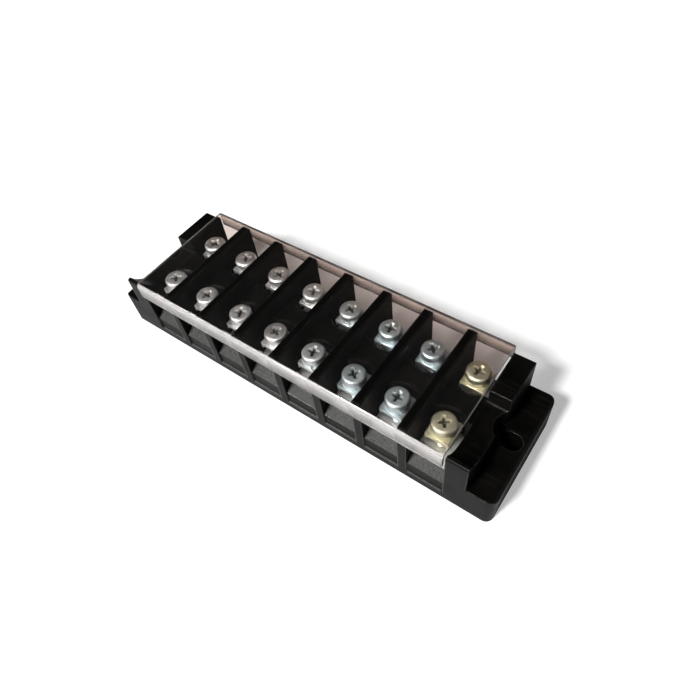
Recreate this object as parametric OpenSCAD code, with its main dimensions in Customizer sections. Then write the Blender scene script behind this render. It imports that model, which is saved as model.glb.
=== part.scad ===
// Barrier terminal strip: eight poles in two rows, on a moulded base with a
// barrier between poles, slotted flanges at both ends and a clear lift-off cover.
// Origin: middle of the underside. +X along the row of poles, +Y to the rear,
// +Z away from the mounting surface. All sizes in millimetres.

/* [Strip] */
// Distance from pole to pole
pitch = 12; // [11.8:0.2:14]
// Width over the barriers and flanges, front to rear
base_w = 32; // [31.6:0.2:36]
// Height of the barriers above the mounting surface
barrier_h = 20.8; // [20.6:0.2:24]
// Thickness of a barrier
barrier_t = 2.4; // [1.8:0.2:2.4]
// Distance of each screw row from the middle of the strip
screw_row_y = 7.9; // [7.8:0.1:8.2]

/* [Base] */
// Height of the seat that the terminal plates lie on
seat_z = 8.2; // [7.8:0.1:8.4]
// Height of the front and rear face below the sloping lips
lip_z = 6.3; // [5.6:0.1:6.6]
// Depth of each sloping lip, front to rear
lip_run = 2.7; // [2.4:0.1:3]
// How far the wall between two barriers is set back from their ends
panel_inset = 0.4; // [0.2:0.1:0.6]
// Height of the foot rim along the front and rear
rim_h = 2.2; // [1.6:0.2:3]
// Width of the bridge between the two screw rows
bridge_w = 8.4; // [7.8:0.2:8.8]
// Height of that bridge above the mounting surface
bridge_h = 15.9; // [14.6:0.1:16.4]
// Radius of the scallop that clears each screw
scallop_r = 5; // [4.8:0.1:5.2]

/* [Ends] */
// Thickness of an end wall
end_t = 5.4; // [4.6:0.2:6.4]
// Height of an end wall
end_h = 19.8; // [18.6:0.2:20.4]
// Height of the low middle of an end wall
dip_h = 15.5; // [13:0.1:16.5]
// Length of a mounting flange
flange_l = 6.8; // [6.8:0.2:9]
// Thickness of a mounting flange
flange_h = 10.2; // [6:0.2:10.6]
// Width of the mounting slot
slot_w = 4.4; // [3.4:0.2:4.6]
// Length of the mounting slot, end to end
slot_l = 5.6; // [5:0.2:5.8]

/* [Terminals] */
// Width of a terminal plate
plate_w = 9; // [7.6:0.2:9.2]
// Thickness of a terminal plate
plate_t = 0.8; // [0.6:0.1:1]
// Thread size of the terminal screws
screw_d = 3; // [2.6:0.1:3.2]
// Length of a terminal screw under its head
screw_l = 10; // [9:0.2:10]
// Diameter of a screw head
head_d = 6; // [5.4:0.1:6.2]
// Height of a screw head
head_h = 2.4; // [2.1:0.1:2.4]
// Height of a screw head's underside in the slackened state
head_z = 15.9; // [15.7:0.1:16.1]
// Side of the square clamp washer
clamp_w = 6.5; // [6:0.1:6.6]

/* [Cover] */
// Wall thickness of the cover
cover_t = 0.9; // [0.7:0.1:1.2]
// Height of the cover's skirts, from its top
skirt_h = 4.7; // [3.5:0.1:5]
// Running gap between the cover and the base
cover_gap = 0.1; // [0.05:0.05:0.3]

/* [Hidden] */
poles = 8;
smooth = 48;
eps = 0.01;
row_l = poles * pitch;
inner_x = (row_l - barrier_t) / 2;
outer_x = inner_x + end_t;
flange_x = outer_x + flange_l;
slot_x = outer_x + flange_l / 2 - 0.7;
front_face_y = base_w / 2 - panel_inset;
seat_y = base_w / 2 - lip_run;
well_r = screw_d / 2 + 0.65;
well_floor = 1.2;
shank_gap = 0.05;
washer_gap = 0.08;
spring_t = 0.8;
clamp_t = 1;
clamp_lip = 0.7;
collar_l = 1.2;
rows = [-1, 1];
row_names = ["front", "rear"];
ends = [-1, 1];
nodes_per_terminal = ["screw", "spring_washer", "clamp_washer"];

// Middle of pole i, counted from the left
function pole_x(i) = (i - (poles + 1) / 2) * pitch;

// A quarter-turn or less between neighbouring screws, so no two recesses line up
function recess_angle(i, r) = (i * 37 + (r > 0 ? 55 : 10)) % 90;

// Whole outline from its right half, which neither starts nor ends on the axis
function both_sides(half) = concat(half, [for (k = [len(half) - 1:-1:0]) [-half[k][0], half[k][1]]]);

// --- helpers -------------------------------------------------------------

// Extrudes a Y-Z outline from x0 to x1
module along_x(x0, x1) {
    translate([x0, 0, 0]) rotate([90, 0, 90]) linear_extrude(x1 - x0) children();
}

// Extrudes an X-Z outline by l, centred on the X axis
module along_y(l) {
    translate([0, l / 2, 0]) rotate([90, 0, 0]) linear_extrude(l) children();
}

// Rectangle with round corners, centred on the origin
module round_rect(w, h, r) {
    square([w - 2 * r, h], center = true);
    square([w, h - 2 * r], center = true);
    for (x = [-1, 1], y = [-1, 1])
        translate([x * (w / 2 - r), y * (h / 2 - r)]) circle(r, $fn = 24);
}

// Upright outline with rounded top corners, from the height z0 to z1
module round_top(w, z0, z1, r) {
    translate([-w / 2, z0]) square([w, z1 - r - z0]);
    translate([r - w / 2, z0]) square([w - 2 * r, z1 - z0]);
    for (x = [-1, 1]) translate([x * (w / 2 - r), z1 - r]) circle(r, $fn = 24);
}

// Slot with round ends, long in X
module slot_outline(l, w) {
    square([l - w, w], center = true);
    for (x = [-1, 1]) translate([x * (l - w) / 2, 0]) circle(w / 2, $fn = smooth);
}

// --- base ----------------------------------------------------------------

// Section under the poles: foot rim, set-back face, sloping lip and flat seat
module floor_outline() {
    polygon(both_sides([[base_w / 2, 0], [base_w / 2, rim_h], [front_face_y, rim_h + panel_inset],
                        [front_face_y, lip_z], [seat_y, seat_z]]));
}

// A barrier: round-edged along its top, with eased front and rear corners
module barrier() {
    intersection() {
        along_y(base_w) round_top(barrier_t, 0, barrier_h, 0.5);
        along_x(-barrier_t, barrier_t) round_top(base_w, 0, barrier_h, 0.8);
    }
}

// The bridge carries on through the barriers and leaves a window over each
// plate. Its scallops clear the screw heads and are eased along their rims
module bridge() {
    ease = 0.6;
    difference() {
        along_x(-inner_x - eps, inner_x + eps)
            round_top(bridge_w, seat_z - eps, bridge_h, 0.4);
        for (i = [1:poles]) {
            translate([pole_x(i), 0, seat_z + plate_t / 2])
                cube([plate_w + 0.1, base_w, plate_t + 0.1], center = true);
            for (r = rows)
                translate([pole_x(i), r * screw_row_y, 0]) {
                    translate([0, 0, seat_z - 1]) cylinder(r = scallop_r, h = barrier_h, $fn = smooth);
                    translate([0, 0, bridge_h - ease]) cylinder(r1 = scallop_r, r2 = scallop_r + 1, h = 1, $fn = smooth);
                }
        }
    }
}

// Outline of an end wall: square rear tower, low middle, and a scoop that
// sweeps up to a narrow front edge
module end_outline() {
    dip_front = -base_w / 4;
    dip_rear = base_w * 0.11;
    tip_y = 1 - base_w / 2;
    rise = end_h - dip_h;
    run = dip_front - tip_y;
    scoop_r = (run * run + rise * rise) / (2 * rise);
    step_r = 0.8;
    difference() {
        round_top(base_w, 0, end_h, 0.6);
        translate([dip_front - eps, dip_h + step_r]) square([dip_rear - dip_front + eps, end_h]);
        translate([dip_front - eps, dip_h]) square([dip_rear - dip_front - step_r + eps, end_h]);
        translate([dip_rear - step_r, dip_h + step_r]) circle(step_r, $fn = 24);
        intersection() {
            translate([dip_front, dip_h + scoop_r]) circle(scoop_r, $fn = smooth);
            translate([tip_y - run, dip_h]) square([2 * run, end_h]);
        }
    }
}

// Mounting flange with round outer corners and an eased top edge
module flange() {
    corner_r = 2;
    ease = 0.5;
    intersection() {
        linear_extrude(flange_h) {
            translate([0, -base_w / 2]) square([flange_x - corner_r, base_w]);
            translate([0, corner_r - base_w / 2]) square([flange_x, base_w - 2 * corner_r]);
            for (y = [-1, 1])
                translate([flange_x - corner_r, y * (base_w / 2 - corner_r)]) circle(corner_r, $fn = 32);
        }
        along_y(base_w) polygon([[outer_x - 1, 0], [flange_x, 0], [flange_x, flange_h - ease],
                                 [flange_x - ease, flange_h], [outer_x - 1, flange_h]]);
    }
}

// Everything at one end, drawn for the +X end
module end_block() {
    pocket_w = flange_l - 2.6;
    difference() {
        union() {
            along_x(inner_x - eps, outer_x) end_outline();
            flange();
        }
        translate([slot_x, 0, -eps]) linear_extrude(flange_h + 1) slot_outline(slot_l, slot_w);
        translate([slot_x, 0, flange_h]) cylinder(d = slot_w * 2, h = barrier_h, $fn = smooth);
        for (y = [-1, 1])
            translate([outer_x + flange_l / 2, y * base_w * 0.3, -eps])
                linear_extrude(flange_h - 1.8) round_rect(pocket_w, base_w * 0.27, 1);
    }
}

module base() {
    color("#1d1c1a") difference() {
        union() {
            along_x(-inner_x - eps, inner_x + eps) floor_outline();
            for (i = [1:poles - 1]) translate([pole_x(i) + pitch / 2, 0, 0]) barrier();
            bridge();
            for (e = ends) mirror([e < 0 ? 1 : 0, 0, 0]) end_block();
        }
        for (i = [1:poles]) translate([pole_x(i), 0, 0]) {
            for (r = rows)
                translate([0, r * screw_row_y, well_floor]) cylinder(r = well_r, h = seat_z, $fn = smooth);
            translate([0, 0, -eps]) linear_extrude(seat_z - 2.8) round_rect(pitch * 0.6, bridge_w, 1);
        }
    }
}

// --- terminals -----------------------------------------------------------

// One flat plate joins the front and rear screw of a pole. It has a drawn
// collar under each tapped hole
module terminal_plate(i) {
    corner_r = 0.6;
    end_gap = 0.1;
    color("#b9b8b0") translate([pole_x(i), 0, seat_z]) difference() {
        union() {
            linear_extrude(plate_t) round_rect(plate_w, 2 * (seat_y - end_gap), corner_r);
            for (r = rows)
                translate([0, r * screw_row_y, -collar_l]) cylinder(d = screw_d + 1, h = collar_l + eps, $fn = smooth);
        }
        for (r = rows)
            translate([0, r * screw_row_y, -collar_l - 1]) cylinder(d = screw_d + 2 * shank_gap, h = 4, $fn = smooth);
    }
}

// Cross recess, cut downwards from z = 0
module cross_recess() {
    depth = head_h * 0.7;
    top_w = head_d * 0.54;
    foot_w = screw_d * 0.3;
    for (a = [0, 90]) rotate([0, 0, a]) along_y(screw_d * 0.28)
        polygon([[-top_w / 2, eps], [top_w / 2, eps], [foot_w / 2, -depth], [-foot_w / 2, -depth]]);
    translate([0, 0, -depth]) cylinder(d1 = screw_d * 0.2, d2 = screw_d * 0.62, h = depth + eps, $fn = 24);
}

// Half outline of a pan head: upright side, round shoulder and flat top
module head_outline() {
    shoulder = head_h * 0.3;
    square([head_d / 2, head_h - shoulder]);
    square([head_d / 2 - shoulder, head_h]);
    translate([head_d / 2 - shoulder, head_h - shoulder]) circle(shoulder, $fn = 24);
}

// Pan head screw with a cross recess and a chamfered point
module screw(i, r) {
    point = screw_d * 0.15;
    color("#cfcec8") translate([pole_x(i), r * screw_row_y, head_z]) difference() {
        union() {
            rotate_extrude($fn = smooth) head_outline();
            rotate_extrude($fn = smooth)
                polygon([[0, -screw_l], [screw_d / 2 - point, -screw_l], [screw_d / 2, point - screw_l],
                         [screw_d / 2, eps], [0, eps]]);
        }
        translate([0, 0, head_h]) rotate([0, 0, recess_angle(i, r)]) cross_recess();
    }
}

// Split spring washer, seated under the screw head
module spring_washer(i, r) {
    bore_r = screw_d / 2 + washer_gap;
    color("#a9a8a2") translate([pole_x(i), r * screw_row_y, head_z - spring_t])
        rotate([0, 0, 60 * i]) rotate_extrude(angle = 350, $fn = smooth)
            translate([bore_r, 0]) square([head_d / 2 - bore_r, spring_t]);
}

// Square clamp washer with two sides turned down to hold a wire in place
module clamp_washer(i, r) {
    half = clamp_w / 2;
    ease = 0.3;
    outline = [[half - 0.9, 0], [half - 0.7, -clamp_lip], [half, -clamp_lip],
               [half, clamp_t - ease], [half - ease, clamp_t]];
    color("#c6c5bd") translate([pole_x(i), r * screw_row_y, head_z - spring_t - clamp_t])
        difference() {
            intersection() {
                along_y(clamp_w) polygon(both_sides(outline));
                translate([0, 0, -2]) linear_extrude(4) round_rect(clamp_w, clamp_w, 0.6);
            }
            translate([0, 0, -2]) cylinder(r = screw_d / 2 + washer_gap, h = 4, $fn = smooth);
        }
}

// --- cover ---------------------------------------------------------------

// Clear channel that rests on the barriers, between the end walls
module clear_cover() {
    inner_w = base_w + 2 * cover_gap;
    top = barrier_h + cover_t;
    color("#dfe6e8", 0.35) along_x(0.2 - inner_x, inner_x - 0.2) difference() {
        round_top(inner_w + 2 * cover_t, top - skirt_h, top, 1.2);
        round_top(inner_w, 0, barrier_h, 0.3);
    }
}

// --- assembly ------------------------------------------------------------

base();
clear_cover();
for (i = [1:poles]) {
    terminal_plate(i);
    for (k = [0, 1]) {
        screw(i, rows[k]);
        spring_washer(i, rows[k]);
        clamp_washer(i, rows[k]);
    }
}
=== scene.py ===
# %% [markdown]
# # A barrier terminal strip
# This file dresses a terminal strip that is already built as exact solids. It gives every surface its
# finish, swaps the plain screws and the plain cover for finer ones, and sets up a plain studio. Read it from
# the top: each step says what the piece is on the real strip before the code makes it.

# %% Load the solids and note their box
from math import atan2, cos, pi, radians, sin

import bmesh
import bpy
from mathutils import Matrix, Quaternion, Vector


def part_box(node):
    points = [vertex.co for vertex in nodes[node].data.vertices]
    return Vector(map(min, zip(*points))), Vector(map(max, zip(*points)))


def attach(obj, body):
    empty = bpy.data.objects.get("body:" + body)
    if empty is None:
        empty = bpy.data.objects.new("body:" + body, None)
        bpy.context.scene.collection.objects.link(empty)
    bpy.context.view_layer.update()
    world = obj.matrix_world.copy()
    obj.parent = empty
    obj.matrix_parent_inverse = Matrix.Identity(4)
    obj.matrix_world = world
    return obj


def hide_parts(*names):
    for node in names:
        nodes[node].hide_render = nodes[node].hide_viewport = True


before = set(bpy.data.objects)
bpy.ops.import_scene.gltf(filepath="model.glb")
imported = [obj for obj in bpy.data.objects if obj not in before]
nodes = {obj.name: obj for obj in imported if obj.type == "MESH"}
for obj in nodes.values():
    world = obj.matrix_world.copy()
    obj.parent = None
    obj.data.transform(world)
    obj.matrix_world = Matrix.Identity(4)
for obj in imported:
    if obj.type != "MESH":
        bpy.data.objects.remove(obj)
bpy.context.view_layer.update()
MM = 0.001

# %% [markdown]
# ## Sizes that the solids give
# A pole is one front screw, one rear screw and the plate that joins them. The poles stand at an even
# pitch, so two neighbouring plates give it, and a screw's box gives its axis, head and length.

# %% Measure the poles and the screws
POLES = sum(name.startswith("terminal_plate_") for name in nodes)
ROWS = {"front": -1, "rear": 1}


def middle(name):
    low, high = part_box(name)
    return (low + high) / 2


pitch = middle("terminal_plate_2").x - middle("terminal_plate_1").x
screw_low, screw_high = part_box("front_screw_1")
head_r = (screw_high.x - screw_low.x) / 2
head_top = screw_high.z
row_y = -middle("front_screw_1").y
measured = {"pitch": pitch, "row": row_y, "head radius": head_r}
print("poles", POLES, {name: round(value / MM, 2) for name, value in measured.items()})

# %% [markdown]
# ## The studio
# The strip lies on a white sweep in a dim white room. A small soft lamp high at the front, a little to the
# left, makes the shadow. A weaker one stands low at the front left and lights what faces the front. The
# camera stands close and high at the front right, so near barriers look bigger than far ones. Its angles are
# turned about a point a little to the right of the strip's middle.

# %% Camera
CAMERA_TURN, CAMERA_RISE, CAMERA_ROLL = radians(41.9), radians(53.0), radians(-8.3)
CAMERA_AWAY = 152.0 * MM
CAMERA_LENS = 29.7
CAMERA_NEAR = 5 * MM
CAMERA_AIM = Vector((8.05, 3.06, 8.0)) * MM


def add_camera():
    flat = cos(CAMERA_RISE)
    away = Vector((sin(CAMERA_TURN) * flat, -cos(CAMERA_TURN) * flat, sin(CAMERA_RISE)))
    data = bpy.data.cameras.new("camera")
    data.lens = CAMERA_LENS
    data.clip_start = CAMERA_NEAR
    camera = bpy.data.objects.new("camera", data)
    bpy.context.scene.collection.objects.link(camera)
    camera.location = CAMERA_AIM + away * CAMERA_AWAY
    camera.rotation_mode = "QUATERNION"
    roll = Quaternion((0, 0, 1), CAMERA_ROLL)
    camera.rotation_quaternion = (-away).to_track_quat("-Z", "Y") @ roll
    bpy.context.scene.camera = camera
    return camera


camera = add_camera()
print("camera at", [round(v / MM, 1) for v in camera.location])

# %% [markdown]
# ## Small helpers for shader nodes
# A finish is a tree of nodes. These helpers only save typing: one adds a node and sets its values, one
# joins two sockets, and one starts a node group with named inputs and outputs.

# %% Node helpers


def add_node(tree, kind, values=None, **settings):
    node = tree.nodes.new("ShaderNode" + kind)
    for name, value in settings.items():
        setattr(node, name, value)
    for name, value in (values or {}).items():
        node.inputs[name].default_value = value
    return node


def math(tree, operation, a, b=None):
    node = add_node(tree, "Math", operation=operation)
    for socket, value in zip(node.inputs, (a, b)):
        if isinstance(value, (int, float)):
            socket.default_value = value
        elif value is not None:
            tree.links.new(value, socket)
    return node.outputs[0]


def ramp(tree, factor, low, high, out_low=0.0, out_high=1.0):
    """Runs from out_low to out_high as the factor goes from low to high, and stays there beyond them."""
    span = {"From Min": low, "From Max": high, "To Min": out_low, "To Max": out_high}
    node = add_node(tree, "MapRange", span)
    tree.links.new(factor, node.inputs["Value"])
    return node.outputs["Result"]


def blend_colour(tree, factor, a, b, how="MIX"):
    node = add_node(tree, "Mix", data_type="RGBA", blend_type=how)
    for socket, value in ((node.inputs[0], factor), (node.inputs[6], a), (node.inputs[7], b)):
        if isinstance(value, (int, float, tuple)):
            socket.default_value = value
        else:
            tree.links.new(value, socket)
    return node.outputs[2]


def start_group(name, inputs, outputs):
    tree = bpy.data.node_groups.new(name, "ShaderNodeTree")
    for label, kind, value in inputs:
        socket = tree.interface.new_socket(label, in_out="INPUT", socket_type="NodeSocket" + kind)
        socket.default_value = value
    for label, kind in outputs:
        tree.interface.new_socket(label, in_out="OUTPUT", socket_type="NodeSocket" + kind)
    return tree, tree.nodes.new("NodeGroupInput"), tree.nodes.new("NodeGroupOutput")


def place_group(tree, group, values=None):
    node = tree.nodes.new("ShaderNodeGroup")
    node.node_tree = group
    for name, value in (values or {}).items():
        node.inputs[name].default_value = value
    return node


# %% Lamps and room light
bpy.context.scene.view_settings.view_transform = "Standard"
LAMP_SIZE = 0.28
KEY_PLACE, KEY_WATTS = Vector((-0.30, -1.30, 1.48)), 48.0
LOW_PLACE, LOW_WATTS = Vector((-0.80, -1.54, 0.84)), 18.0
ROOM_LIGHT = 0.05


def add_lamp(name, place, watts):
    """A square lamp that looks at the strip."""
    data = bpy.data.lights.new(name, "AREA")
    data.size = LAMP_SIZE
    data.energy = watts
    lamp = bpy.data.objects.new(name, data)
    bpy.context.scene.collection.objects.link(lamp)
    lamp.location = place
    lamp.rotation_mode = "QUATERNION"
    lamp.rotation_quaternion = (-place).to_track_quat("-Z", "Y")


def light_room(strength):
    """A dim room, which the camera itself sees as white."""
    world = bpy.data.worlds.new("room")
    world.use_nodes = True
    bpy.context.scene.world = world
    tree = world.node_tree
    tree.nodes.clear()
    path = add_node(tree, "LightPath")
    room = add_node(tree, "Background", {"Color": (1, 1, 1, 1)})
    light = ramp(tree, path.outputs["Is Camera Ray"], 0, 1, strength, 1.0)
    tree.links.new(light, room.inputs["Strength"])
    output = tree.nodes.new("ShaderNodeOutputWorld")
    tree.links.new(room.outputs[0], output.inputs["Surface"])


add_lamp("key_lamp", KEY_PLACE, KEY_WATTS)
add_lamp("low_lamp", LOW_PLACE, LOW_WATTS)
light_room(ROOM_LIGHT)

# %% [markdown]
# ## Soft edges
# Nothing moulded or stamped has a knife edge. The Bevel node gives the normal that a rounded edge would have.
# Where that normal leaves the flat one, we are on an edge, so the same node also gives a mask for wear and for
# painted glints.

# %% Group: soft edges
EDGE_FROM, EDGE_FULL = 0.995, 0.8


def make_soft_edges():
    """Edge rises as the cosine between the round and the flat normal falls from EDGE_FROM to EDGE_FULL."""
    results = [("Normal", "Vector"), ("Edge", "Float")]
    tree, start, end = start_group("soft_edges", [("Radius", "Float", 0.2 * MM)], results)
    bevel = add_node(tree, "Bevel", samples=6)
    tree.links.new(start.outputs["Radius"], bevel.inputs["Radius"])
    flat = add_node(tree, "NewGeometry")
    dot = add_node(tree, "VectorMath", operation="DOT_PRODUCT")
    tree.links.new(bevel.outputs[0], dot.inputs[0])
    tree.links.new(flat.outputs["Normal"], dot.inputs[1])
    tree.links.new(bevel.outputs[0], end.inputs["Normal"])
    tree.links.new(ramp(tree, dot.outputs["Value"], EDGE_FROM, EDGE_FULL), end.inputs["Edge"])
    return tree


soft_edges = make_soft_edges()
print("group:", soft_edges.name)

# %% [markdown]
# ## Grain
# Black moulding compound has a fine flow grain: a little light and dark over centimetres, and a faint
# orange peel that breaks up its gloss. Plated steel has the same two scales, only finer.

# %% Group: grain


def make_grain():
    tree, start, end = start_group(
        "grain",
        [("Patch Scale", "Float", 90.0), ("Fine Scale", "Float", 2500.0)],
        [("Patch", "Float"), ("Fine", "Float")],
    )
    where = add_node(tree, "TexCoord")
    for label, detail in (("Patch", 4.0), ("Fine", 2.0)):
        noise = add_node(tree, "TexNoise", {"Detail": detail, "Roughness": 0.55})
        tree.links.new(where.outputs["Object"], noise.inputs["Vector"])
        tree.links.new(start.outputs[label + " Scale"], noise.inputs["Scale"])
        tree.links.new(ramp(tree, noise.outputs["Fac"], 0.3, 0.7), end.inputs[label])
    return tree


grain = make_grain()

# %% Group: handling scratches


def make_scratches():
    """Noise stretched along three turned directions, of which only the peaks are kept as thin lines."""
    tree, start, end = start_group("scratches", [("Scale", "Float", 60.0)], [("Line", "Float")])
    where = add_node(tree, "TexCoord")
    lines = None
    for turn, stretch in ((0.5, 14.0), (-0.9, 20.0), (2.1, 17.0)):
        turned = {"Rotation": (0.3, 0.2, turn), "Scale": (1.0, stretch, stretch)}
        mapping = add_node(tree, "Mapping", turned)
        noise = add_node(tree, "TexNoise", {"Detail": 1.0})
        tree.links.new(where.outputs["Object"], mapping.inputs["Vector"])
        tree.links.new(mapping.outputs[0], noise.inputs["Vector"])
        tree.links.new(start.outputs["Scale"], noise.inputs["Scale"])
        line = ramp(tree, noise.outputs["Fac"], 0.66, 0.72)
        lines = line if lines is None else math(tree, "MAXIMUM", lines, line)
    tree.links.new(lines, end.inputs["Line"])
    return tree


scratches = make_scratches()
print("groups:", [g.name for g in bpy.data.node_groups])

# %% [markdown]
# ## Materials
# Each material has one Principled shader. `start_material` gives it with its plain values set on its own
# sockets, so that what never changes over the surface stays readable.

# %% Material helper


def start_material(name, values):
    material = bpy.data.materials.new(name)
    material.use_nodes = True
    tree = material.node_tree
    shader = tree.nodes["Principled BSDF"]
    for label, value in values.items():
        shader.inputs[label].default_value = value
    return material, tree, shader


def add_bump(tree, shader, height, distance, normal=None):
    bump = add_node(tree, "Bump", {"Distance": distance, "Strength": 1.0})
    tree.links.new(height, bump.inputs["Height"])
    if normal is not None:
        tree.links.new(normal, bump.inputs["Normal"])
    tree.links.new(bump.outputs[0], shader.inputs["Normal"])


# %% Group: painted sheen on the lips
# The lips slope down in front of and behind the plates. They get a matt grey, which is a painted sheen for the
# light that these faces catch as they turn half up towards the lamps. What faces half up, lies lower than the
# plates' top and ends with the bays is a lip.
plate_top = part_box("terminal_plate_1")[1].z
cover_low, cover_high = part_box("clear_cover")
LIP_BLEND = 0.3 * MM


def make_lip_sheen_mask():
    tree, _, end = start_group("lip_sheen_mask", [], [("Painted Sheen", "Float")])
    facing = add_node(tree, "SeparateXYZ")
    tree.links.new(add_node(tree, "NewGeometry").outputs["True Normal"], facing.inputs[0])
    where = add_node(tree, "SeparateXYZ")
    tree.links.new(add_node(tree, "TexCoord").outputs["Object"], where.inputs[0])
    up = facing.outputs["Z"]
    slope = math(tree, "MULTIPLY", ramp(tree, up, 0.5, 0.6), ramp(tree, up, 0.95, 0.9))
    below = ramp(tree, where.outputs["Z"], plate_top, plate_top - LIP_BLEND)
    along = math(tree, "ABSOLUTE", where.outputs["X"])
    inside = ramp(tree, along, cover_high.x, cover_high.x - LIP_BLEND)
    both = math(tree, "MULTIPLY", below, inside)
    tree.links.new(math(tree, "MULTIPLY", slope, both), end.inputs["Painted Sheen"])
    return tree


lip_sheen_mask = make_lip_sheen_mask()
print("lips lie below", round(plate_top / MM, 2), "mm and end at", round(cover_high.x / MM, 2), "mm")

# %% Black moulding compound
# The mirror part of this shader is set far below that of a real plastic, so that the black stays deep in this
# bright studio. Edges get more polish and a thin coat, which gives back only a part of their glints. Their
# lighter colour is partly rubbed wear and partly a painted highlight for those glints.
BLACK_DARK, BLACK_LIGHT = (0.0012, 0.0012, 0.0010, 1), (0.0036, 0.0033, 0.0026, 1)
SHEEN_DARK, SHEEN_LIGHT = (0.03, 0.03, 0.029, 1), (0.065, 0.065, 0.062, 1)
WORN_AND_GLINT, SCRATCHED = (0.04, 0.038, 0.034, 1), (0.028, 0.027, 0.025, 1)
BLACK_VALUES = {"IOR": 1.5, "Specular IOR Level": 0.07, "Coat Roughness": 0.16}


def make_black_plastic():
    material, tree, shader = start_material("black_plastic", BLACK_VALUES)
    edges = place_group(tree, soft_edges, {"Radius": 0.6 * MM})
    speck = place_group(tree, grain, {"Patch Scale": 110.0, "Fine Scale": 2200.0})
    scratch = place_group(tree, scratches, {"Scale": 70.0}).outputs["Line"]
    patch, fine, edge = speck.outputs["Patch"], speck.outputs["Fine"], edges.outputs["Edge"]
    lip_sheen = place_group(tree, lip_sheen_mask).outputs["Painted Sheen"]
    # Lighter edges: partly rubbed wear, partly a painted highlight for their glints.
    wear_and_glint = math(tree, "MULTIPLY", edge, ramp(tree, patch, 0, 1, 0.2, 0.7))
    colour = blend_colour(tree, patch, BLACK_DARK, BLACK_LIGHT)
    colour = blend_colour(tree, wear_and_glint, colour, WORN_AND_GLINT)
    colour = blend_colour(tree, math(tree, "MULTIPLY", scratch, 0.12), colour, SCRATCHED)
    # Painted sheen: the lips turn a matt grey.
    colour = blend_colour(tree, lip_sheen, colour, blend_colour(tree, fine, SHEEN_DARK, SHEEN_LIGHT))
    tree.links.new(colour, shader.inputs["Base Color"])
    rough = ramp(tree, patch, 0, 1, 0.34, 0.48)
    rough = math(tree, "ADD", rough, math(tree, "MULTIPLY", scratch, 0.05))
    rough = math(tree, "SUBTRACT", rough, math(tree, "MULTIPLY", edge, 0.26))
    tree.links.new(rough, shader.inputs["Roughness"])
    tree.links.new(math(tree, "MULTIPLY", wear_and_glint, 0.9), shader.inputs["Coat Weight"])
    add_bump(tree, shader, fine, 0.012 * MM, edges.outputs["Normal"])
    return material


black_plastic = make_black_plastic()
print("base finish:", len(black_plastic.node_tree.nodes), "nodes")

# %% [markdown]
# ## Plating
# The screws and washers carry a thin bright plating. A passivated plating lies anywhere between a cold blue
# and a warm yellow, and one batch can drift from the one to the other. Here the drift runs along the strip:
# plain on the left, blue further right and yellow at the last pole. The plates are duller and untinted.

# %% Group: passivation tint
COLD_FROM, COLD_FULL = 4 * MM, 18 * MM
WARM_FROM, WARM_FULL, COLD_GONE = 36 * MM, 44 * MM, 38 * MM
DRIFT_NOISE = 8 * MM


def make_tint():
    tree, _, end = start_group("tint", [], [("Warm", "Float"), ("Cold", "Float")])
    where = add_node(tree, "TexCoord")
    axis = add_node(tree, "SeparateXYZ")
    tree.links.new(where.outputs["Object"], axis.inputs[0])
    noise = add_node(tree, "TexNoise", {"Scale": 45.0, "Detail": 2.0})
    tree.links.new(where.outputs["Object"], noise.inputs["Vector"])
    drift = math(tree, "ADD", axis.outputs["X"], math(tree, "MULTIPLY", noise.outputs["Fac"], DRIFT_NOISE))
    tree.links.new(ramp(tree, drift, WARM_FROM, WARM_FULL), end.inputs["Warm"])
    rise = ramp(tree, drift, COLD_FROM, COLD_FULL)
    fall = ramp(tree, drift, WARM_FULL, COLD_GONE)
    tree.links.new(math(tree, "MULTIPLY", rise, fall), end.inputs["Cold"])
    return tree


tint = make_tint()

# %% Group: painted shade inside a recess
# The distance from the nearest screw axis comes from folding x into one pole and y into one row. Depths are
# counted down from the top of the heads. Inside a cross recess the colour is darkened: painted shade.
SHADE_FROM, SHADE_FULL = 0.15 * MM, 0.9 * MM
REACH_OUT, REACH_FULL = 2.2 * MM, 1.9 * MM
DEPTH_OUT, DEPTH_FULL = 2.2 * MM, 2.1 * MM


def make_recess_shade_mask():
    tree, _, end = start_group("recess_shade_mask", [], [("Inside", "Float"), ("Away", "Float")])
    where = add_node(tree, "TexCoord")
    axis = add_node(tree, "SeparateXYZ")
    tree.links.new(where.outputs["Object"], axis.inputs[0])
    across = math(tree, "SUBTRACT", math(tree, "PINGPONG", axis.outputs["X"], pitch / 2), pitch / 2)
    along = math(tree, "SUBTRACT", math(tree, "ABSOLUTE", axis.outputs["Y"]), row_y)
    square = math(tree, "ADD", math(tree, "POWER", across, 2.0), math(tree, "POWER", along, 2.0))
    away = math(tree, "SQRT", square)
    deep = ramp(tree, axis.outputs["Z"], head_top - SHADE_FROM, head_top - SHADE_FULL)
    near = ramp(tree, away, REACH_OUT, REACH_FULL)
    above = ramp(tree, axis.outputs["Z"], head_top - DEPTH_OUT, head_top - DEPTH_FULL)
    inside = math(tree, "MULTIPLY", math(tree, "MULTIPLY", deep, near), above)
    tree.links.new(inside, end.inputs["Inside"])
    tree.links.new(away, end.inputs["Away"])
    return tree


recess_shade_mask = make_recess_shade_mask()
print("metal groups:", tint.name, recess_shade_mask.name)

# %% Plated metals
YELLOW, BLUE = (0.98, 0.93, 0.70, 1), (0.86, 0.96, 1.0, 1)
BARE, PAINTED_RECESS_SHADE = (0.85, 0.85, 0.84, 1), (0.05, 0.047, 0.04, 1)
TURNING = 0.16 * MM


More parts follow.
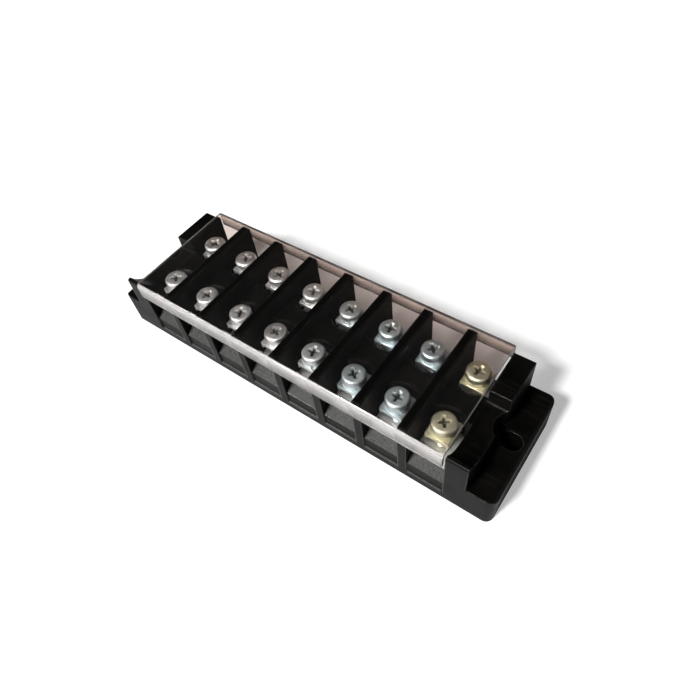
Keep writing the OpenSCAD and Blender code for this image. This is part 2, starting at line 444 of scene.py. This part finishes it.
def make_plated(name, dark, light, roughness, edge, tinted=True):
    material, tree, shader = start_material(name, {"Metallic": 1.0})
    edges = place_group(tree, soft_edges, {"Radius": edge})
    speck = place_group(tree, grain, {"Patch Scale": 240.0, "Fine Scale": 4200.0})
    scratch = place_group(tree, scratches, {"Scale": 190.0}).outputs["Line"]
    patch, fine = speck.outputs["Patch"], speck.outputs["Fine"]
    colour = blend_colour(tree, patch, dark + (1,), light + (1,))
    if tinted:
        shade = place_group(tree, tint)
        colour = blend_colour(tree, shade.outputs["Warm"], colour, YELLOW, "MULTIPLY")
        colour = blend_colour(tree, shade.outputs["Cold"], colour, BLUE, "MULTIPLY")
    colour = blend_colour(tree, math(tree, "MULTIPLY", scratch, 0.35), colour, BARE)
    rough = ramp(tree, fine, 0, 1, *roughness)
    rough = math(tree, "ADD", rough, math(tree, "MULTIPLY", patch, 0.06))
    height = fine
    if name == "screw_metal":
        mask = place_group(tree, recess_shade_mask)
        inside = mask.outputs["Inside"]
        # Painted shade: the inside of each cross recess is darkened.
        colour = blend_colour(tree, math(tree, "MULTIPLY", inside, 0.85), colour, PAINTED_RECESS_SHADE)
        rough = math(tree, "ADD", rough, math(tree, "MULTIPLY", inside, 0.3))
        rings = math(tree, "SINE", math(tree, "MULTIPLY", mask.outputs["Away"], 2 * pi / TURNING))
        height = math(tree, "ADD", fine, math(tree, "MULTIPLY", rings, 0.35))
    tree.links.new(colour, shader.inputs["Base Color"])
    tree.links.new(rough, shader.inputs["Roughness"])
    add_bump(tree, shader, height, 0.004 * MM, edges.outputs["Normal"])
    return material


plate_metal = make_plated(
    "plate_metal", (0.62, 0.62, 0.59), (0.78, 0.78, 0.76), (0.62, 0.76), 0.12 * MM, tinted=False
)
washer_metal = make_plated("washer_metal", (0.80, 0.81, 0.81), (0.90, 0.90, 0.89), (0.42, 0.52), 0.15 * MM)
screw_metal = make_plated("screw_metal", (0.76, 0.76, 0.75), (0.88, 0.88, 0.87), (0.38, 0.48), 0.15 * MM)
print("metals:", plate_metal.name, washer_metal.name, screw_metal.name)

# %% [markdown]
# ## Clear plastic
# The cover is clear on top. Its skirts are milky where they leave the fold and darker towards the foot, where
# the shade is painted, and its sawn ends are dull. The rear of the cover has a faint warm pink tone, which is
# probably a reflection. Here it is a painted reflection, a tint of the plastic, which keeps the studio plain,
# so it is there from every side.

# %% Group: painted rear reflection
REFLECTED_PINK = (0.94, 0.84, 0.79)
REFLECTION_FROM, REFLECTION_FULL = 4 * MM, 9 * MM


def make_rear_reflection():
    tree, _, end = start_group("painted_rear_reflection", [], [("Rear", "Float")])
    axis = add_node(tree, "SeparateXYZ")
    tree.links.new(add_node(tree, "TexCoord").outputs["Object"], axis.inputs[0])
    tree.links.new(ramp(tree, axis.outputs["Y"], REFLECTION_FROM, REFLECTION_FULL), end.inputs["Rear"])
    return tree


painted_rear_reflection = make_rear_reflection()
print("rear cast from", round(REFLECTION_FROM / MM, 1), "to", round(REFLECTION_FULL / MM, 1), "mm behind the middle")

# %% Clear, sawn and hazy plastic
CLEAR, SAWN = (0.95, 0.92, 0.90, 1), (0.12, 0.12, 0.12, 1)
SKIRT_FOOT_SHADE, SKIRT_TOP = (0.15, 0.14, 0.135, 1), (0.97, 0.94, 0.92, 1)
SKIRT_END = cover_high.z - 0.6 * MM
PLASTIC_IOR = 1.49


def skirt_shade_colour(tree):
    """Painted shade: dark at the foot of a skirt and nearly clear where the fold begins."""
    axis = add_node(tree, "SeparateXYZ")
    tree.links.new(add_node(tree, "TexCoord").outputs["Object"], axis.inputs[0])
    rise = ramp(tree, axis.outputs["Z"], cover_low.z, SKIRT_END)
    return blend_colour(tree, rise, SKIRT_FOOT_SHADE, SKIRT_TOP)


def make_clear_plastic(name, values, roughness, colour, shade, cast=1.0):
    """Plastic of this colour, or the colour that a function builds in the tree. For the lamps each of its
    two skins is a plain filter of this shade, since light bent by clear plastic can't reach what it covers."""
    material, tree, shader = start_material(name, {"IOR": PLASTIC_IOR, **values})
    # The painted reflection on the rear of the cover, at the share that cast gives.
    rear = math(tree, "MULTIPLY", place_group(tree, painted_rear_reflection).outputs["Rear"], cast)
    base = colour(tree) if callable(colour) else colour
    tree.links.new(blend_colour(tree, rear, base, REFLECTED_PINK + (1,), "MULTIPLY"), shader.inputs["Base Color"])
    patch = place_group(tree, grain, {"Patch Scale": 60.0, "Fine Scale": 900.0}).outputs["Patch"]
    tree.links.new(ramp(tree, patch, 0, 1, *roughness), shader.inputs["Roughness"])
    add_bump(tree, shader, patch, 0.01 * MM)
    mix = add_node(tree, "MixShader")
    path = add_node(tree, "LightPath")
    clear = add_node(tree, "BsdfTransparent", {"Color": (shade, shade, shade, 1)})
    tree.links.new(path.outputs["Is Shadow Ray"], mix.inputs["Fac"])
    tree.links.new(shader.outputs[0], mix.inputs[1])
    tree.links.new(clear.outputs[0], mix.inputs[2])
    tree.links.new(mix.outputs[0], tree.nodes["Material Output"].inputs["Surface"])
    return material


HAZY_VALUES = {"Transmission Weight": 0.78, "Specular IOR Level": 0.25}
clear_plastic = make_clear_plastic("clear_plastic", {"Transmission Weight": 1.0}, (0.02, 0.05), CLEAR, 0.52)
sawn_plastic = make_clear_plastic("sawn_plastic", {"Transmission Weight": 0.4}, (0.3, 0.4), SAWN, 0.5)
hazy_plastic = make_clear_plastic("hazy_plastic", HAZY_VALUES, (0.1, 0.16), skirt_shade_colour, 0.5, cast=0.4)
print("cover plastics:", clear_plastic.name, sawn_plastic.name, hazy_plastic.name)

# %% Give every solid its finish
FINISH = {
    "base": black_plastic,
    "clear_cover": clear_plastic,
    "terminal_plate": plate_metal,
    "clamp_washer": washer_metal,
    "spring_washer": washer_metal,
    "screw": screw_metal,
}


def finish_of(name):
    return next(material for key, material in FINISH.items() if key in name)


for name, node in nodes.items():
    node.data.materials.clear()
    node.data.materials.append(finish_of(name))
print("finished solids:", len(nodes))

# %% [markdown]
# ## The cover
# The cover is a clear channel with a skirt along the front and the rear. It could be a folded sheet or an
# extrusion sawn to length, so its section is drawn as a strip of quads from the outer to the inner skin and
# extruded along the poles. Why its skirts are milky isn't known.

# %% Build the cover
FOLD_OUT, FOLD_IN = 1.2 * MM, 0.3 * MM
FOLD_STEPS = 8
RIM_EASE = 0.12 * MM
TOUCH = 0.001 * MM
COVER_SHARP = 35
CLEAR_FACE, HAZY_FACE, SAWN_FACE = range(3)


def finish_mesh(name, shape, materials, sharp_over):
    """Object from a bmesh: smooth faces, but sharp edges where the faces turn by more than this angle."""
    mesh = bpy.data.meshes.new(name)
    shape.to_mesh(mesh)
    shape.free()
    mesh.set_sharp_from_angle(angle=radians(sharp_over))
    for material in materials:
        mesh.materials.append(material)
    made = bpy.data.objects.new(name, mesh)
    bpy.context.scene.collection.objects.link(made)
    return made


def fold_points(half_width, top, bottom, radius):
    """Right half of a skin, from the middle of the top to the foot of the skirt."""
    turns = [pi / 2 * k / FOLD_STEPS for k in range(FOLD_STEPS + 1)]
    arc = [(half_width - radius + radius * sin(t), top - radius + radius * cos(t)) for t in turns]
    return arc + [(half_width, bottom)]


def cover_finish(face, lowest):
    """Sawn ends, a clear top, and hazy skirts with their feet and most of their folds."""
    if abs(face.normal.x) > 0.5:
        return SAWN_FACE
    flat = abs(face.normal.z) >= 0.95 and face.calc_center_median().z >= lowest
    return CLEAR_FACE if flat else HAZY_FACE


def make_cover():
    low, high = cover_low, cover_high
    base_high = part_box("base")[1]
    sheet = high.z - base_high.z
    outer = fold_points(high.y, high.z, low.z, FOLD_OUT)
    inner = fold_points(high.y - sheet, base_high.z, low.z, FOLD_IN)
    shape = bmesh.new()
    skins = [[shape.verts.new((low.x, -y, z)) for y, z in reversed(skin)] for skin in (outer, inner)]
    for verts, skin in zip(skins, (outer, inner)):
        verts.extend(shape.verts.new((low.x, y, z)) for y, z in skin)
    out, into = skins
    strip = [shape.faces.new((out[k], out[k + 1], into[k + 1], into[k])) for k in range(len(out) - 1)]
    made = bmesh.ops.extrude_face_region(shape, geom=strip)
    moved = [v for v in made["geom"] if isinstance(v, bmesh.types.BMVert)]
    bmesh.ops.translate(shape, verts=moved, vec=(high.x - low.x, 0, 0))
    bmesh.ops.recalc_face_normals(shape, faces=shape.faces[:])
    rims = [
        e
        for e in shape.edges
        if all(abs(abs(v.co.x) - high.x) < TOUCH for v in e.verts)
        and sum(abs(abs(f.normal.x) - 1) < 1e-3 for f in e.link_faces) == 1
    ]
    bmesh.ops.bevel(
        shape, geom=rims, offset=RIM_EASE, segments=2, profile=0.5, affect="EDGES", material=-1
    )
    for face in shape.faces:
        face.material_index = cover_finish(face, base_high.z - sheet)
    made = finish_mesh("cover_sheet", shape, [clear_plastic, hazy_plastic, sawn_plastic], COVER_SHARP)
    for face in made.data.polygons:
        face.use_smooth = 0.01 < abs(face.normal.z) < 0.99
    return made


cover = make_cover()
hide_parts("clear_cover")
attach(cover, "cover")
print("cover faces:", len(cover.data.polygons))

# %% [markdown]
# ## The screws
# A terminal screw is headed and thread-rolled from wire. Its pan head has a round shoulder and a cross
# recess, and its thread climbs half a millimetre a turn. Half of its outline is spun once round the axis.
# Moving the points of the shank in and out as they turn then gives the thread, and a tapered cross cuts
# the recess.

# %% Sizes of one screw, from its neck at zero
SIDES = 40
THREAD_PITCH = 0.5 * MM
THREAD_OUT, THREAD_IN = 1.49 * MM, 1.2 * MM
NECK = 0.7 * MM
head_h = 2.4 * MM
head_base = head_top - head_h
shank_l = head_base - screw_low.z
point_h = 0.35 * MM
RINGS = 7
SCREW_SHARP = 40
RECESS_TAPER = 0.32


def screw_outline():
    """(radius, height) from the tip of the point up to the middle of the head's top."""
    line = [(0.0, -shank_l), (0.75 * MM, -shank_l), (THREAD_IN, -shank_l + 0.3 * MM)]
    rows = int((shank_l - NECK - point_h) / (THREAD_PITCH / RINGS))
    line += [(THREAD_IN, -shank_l + point_h + k * THREAD_PITCH / RINGS) for k in range(rows)]
    line += [(THREAD_IN, -NECK * 0.8), (THREAD_IN, -0.08 * MM), (THREAD_IN + 0.08 * MM, 0.0)]
    line += [(head_r - 0.22 * MM, 0.0), (head_r - 0.07 * MM, 0.06 * MM), (head_r, 0.2 * MM)]
    shoulder = head_h * 0.3
    turns = [pi / 2 * k / 6 for k in range(6)]
    middle_r, middle_h = head_r - shoulder, head_h - shoulder
    line += [(middle_r + shoulder * cos(t), middle_h + shoulder * sin(t)) for t in turns]
    return line + [(head_r * 0.7, head_h - 0.012 * MM), (head_r * 0.35, head_h), (0.0, head_h)]


print("shank", round(shank_l / MM, 2), "head", round(head_h / MM, 2), "outline", len(screw_outline()), "points")


def thread_radius(turn, z):
    """Radius of the shank here: a rolled thread that fades out at the neck and at the point."""
    phase = (z / THREAD_PITCH - turn / (2 * pi)) % 1.0
    ridge = min(1.0, max(0.0, 1.35 - abs(phase - 0.5) * 3.6))
    fade = min(1.0, max(0.0, (z + shank_l) / (0.8 * MM)), max(0.0, (-NECK - z) / (0.25 * MM)))
    return THREAD_IN + (THREAD_OUT - THREAD_IN) * ridge * fade


# %% Spin the outline and thread it


def make_screw_shape():
    shape = bmesh.new()
    line = [shape.verts.new((radius, 0, z)) for radius, z in screw_outline()]
    edges = [shape.edges.new(pair) for pair in zip(line, line[1:])]
    round_z = {"cent": (0, 0, 0), "axis": (0, 0, 1), "angle": 2 * pi}
    bmesh.ops.spin(shape, geom=line + edges, steps=SIDES, use_merge=True, **round_z)
    bmesh.ops.remove_doubles(shape, verts=shape.verts[:], dist=TOUCH)
    for point in shape.verts:
        if -shank_l + 0.32 * MM < point.co.z < -NECK:
            grow = thread_radius(atan2(point.co.y, point.co.x), point.co.z) / THREAD_IN
            point.co.x *= grow
            point.co.y *= grow
    bmesh.ops.recalc_face_normals(shape, faces=shape.faces[:])
    return shape


def make_recess_shape():
    """A cross face, drawn just above the head, pulled down and narrowed."""
    shape = bmesh.new()
    reach, half, above, depth = head_r * 0.62, 0.48 * MM, 0.4 * MM, head_h * 0.7
    notch = half * 1.3
    wing = [Vector((reach, -half, 0)), Vector((reach, half, 0)), Vector((notch, notch, 0))]
    turns = [Matrix.Rotation(pi / 2 * k, 3, "Z") for k in range(4)]
    corners = [shape.verts.new(turn @ corner) for turn in turns for corner in wing]
    cross = shape.faces.new(corners)
    made = bmesh.ops.extrude_face_region(shape, geom=[cross])
    sunk = [v for v in made["geom"] if isinstance(v, bmesh.types.BMVert)]
    bmesh.ops.scale(shape, verts=sunk, vec=(RECESS_TAPER, RECESS_TAPER, 1))
    bmesh.ops.translate(shape, verts=sunk, vec=(0, 0, -above - depth))
    bmesh.ops.translate(shape, verts=shape.verts[:], vec=(0, 0, head_h + above))
    bmesh.ops.recalc_face_normals(shape, faces=shape.faces[:])
    return shape


# %% Cut the recess


def cut(body, tool):
    """The body less the tool, as a new mesh."""
    modifier = body.modifiers.new("cut", "BOOLEAN")
    modifier.operation = "DIFFERENCE"
    modifier.solver = "EXACT"
    modifier.object = tool
    bpy.context.view_layer.update()
    cut_body = body.evaluated_get(bpy.context.evaluated_depsgraph_get())
    mesh = bpy.data.meshes.new_from_object(cut_body)
    for used in (body, tool):
        bpy.data.objects.remove(used)
    return mesh


def make_screw_mesh():
    body = finish_mesh("screw_body", make_screw_shape(), [screw_metal], SCREW_SHARP)
    tool = finish_mesh("recess_tool", make_recess_shape(), [screw_metal], SCREW_SHARP)
    mesh = cut(body, tool)
    for face in mesh.polygons:
        face.use_smooth = True
    mesh.set_sharp_from_angle(angle=radians(SCREW_SHARP))
    return mesh


screw_mesh = make_screw_mesh()
print("one screw:", len(screw_mesh.polygons), "faces")

# %% Stand a screw in every terminal


def recess_turn(pole, side):
    """The turn of each cross recess: no two neighbours stopped at the same angle."""
    return radians((pole * 37 + (55 if side > 0 else 10)) % 90)


for row, side in ROWS.items():
    for pole in range(1, POLES + 1):
        name = f"{row}_screw_{pole}"
        mesh = screw_mesh.copy()
        centre = middle(name)
        turn = Matrix.Rotation(recess_turn(pole, side), 4, "Z")
        mesh.transform(Matrix.Translation((centre.x, centre.y, head_base)) @ turn)
        screw = bpy.data.objects.new(f"threaded_{name}", mesh)
        bpy.context.scene.collection.objects.link(screw)
        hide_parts(name)
        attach(screw, name)
bpy.data.meshes.remove(screw_mesh)

# %% [markdown]
# ## The sweep
# A large white sheet under the strip takes its shadow. To the camera it also glows a little, so that bare
# paper comes out white while the shadow stays, and further away it glows fully. Clear plastic shows a part of
# that glow. From below the sheet is open, so that the underside can be looked at, and a hair's gap keeps
# the two from lying in one plane.

# %% White sweep
GAP = 0.02 * MM
SWEEP_HALF = 2.0
GLOW_NEAR, GLOW_FAR = 0.4, 1.0
NEAR, FAR = 0.15, 0.6
GLOW_THROUGH = 0.25
SWEEP_VALUES = {"Base Color": (0.72, 0.72, 0.72, 1), "Roughness": 0.9, "Emission Strength": 1.0}


def make_paper():
    material, tree, shader = start_material("white_sweep", SWEEP_VALUES)
    path = add_node(tree, "LightPath")
    seen = math(tree, "MULTIPLY", path.outputs["Is Transmission Ray"], GLOW_THROUGH)
    seen = math(tree, "MAXIMUM", path.outputs["Is Camera Ray"], seen)
    away = add_node(tree, "VectorMath", operation="LENGTH")
    tree.links.new(add_node(tree, "TexCoord").outputs["Object"], away.inputs[0])
    glow = ramp(tree, away.outputs["Value"], NEAR, FAR, GLOW_NEAR, GLOW_FAR)
    glow = math(tree, "MULTIPLY", glow, seen)
    tree.links.new(blend_colour(tree, glow, (0, 0, 0, 1), (1, 1, 1, 1)), shader.inputs["Emission Color"])
    sides = add_node(tree, "MixShader")
    tree.links.new(add_node(tree, "NewGeometry").outputs["Backfacing"], sides.inputs["Fac"])
    tree.links.new(shader.outputs[0], sides.inputs[1])
    tree.links.new(add_node(tree, "BsdfTransparent").outputs[0], sides.inputs[2])
    tree.links.new(sides.outputs[0], tree.nodes["Material Output"].inputs["Surface"])
    return material


def make_sweep():
    mesh = bpy.data.meshes.new("sweep")
    shape = bmesh.new()
    lowered = Matrix.Translation((0, 0, -GAP))
    bmesh.ops.create_grid(shape, x_segments=1, y_segments=1, size=SWEEP_HALF, matrix=lowered)
    shape.to_mesh(mesh)
    shape.free()
    mesh.materials.append(make_paper())
    sweep = bpy.data.objects.new("sweep", mesh)
    bpy.context.scene.collection.objects.link(sweep)
    return sweep


sweep = make_sweep()
print("sweep:", len(sweep.data.polygons), "face,", 2 * SWEEP_HALF, "m wide")
